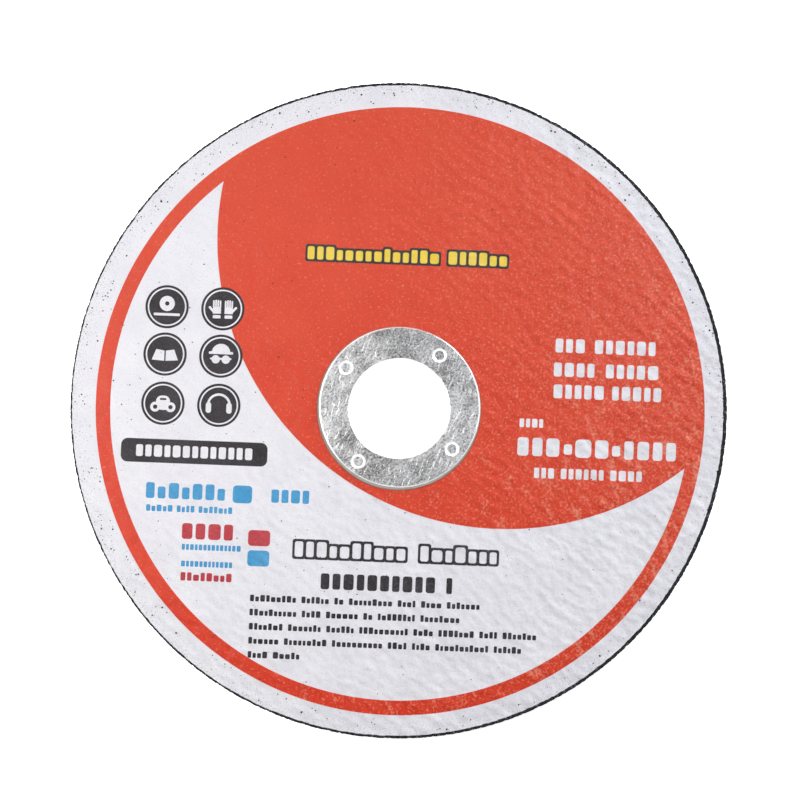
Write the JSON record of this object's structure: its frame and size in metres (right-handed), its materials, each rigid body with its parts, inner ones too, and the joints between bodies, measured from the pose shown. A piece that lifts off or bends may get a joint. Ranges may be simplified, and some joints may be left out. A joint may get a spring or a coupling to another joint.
{
  "type": "cut-off wheel",
  "caption": "Thin flat resin-bonded abrasive wheel for cutting metal, with a red and white paper label and a stamped metal ring in its arbor bore.",
  "frame": {"origin": "on the bore's axis, at the back face that the wheel lies on", "axes": "+Z along the bore's axis, out of the label; +X to the right and +Y up as the label is read"},
  "size_m": [0.15, 0.15, 0.0015],
  "materials": {
    "bonded_abrasive": "matte",
    "label_paper": "matte",
    "red_ink": "satin",
    "tinned_steel": "satin"
  },
  "bodies": {
    "root": {"abrasive_disc": "bonded_abrasive", "label": "label_paper", "red_print": "red_ink", "arbor_ring": "tinned_steel"}
  },
  "joints": []
}
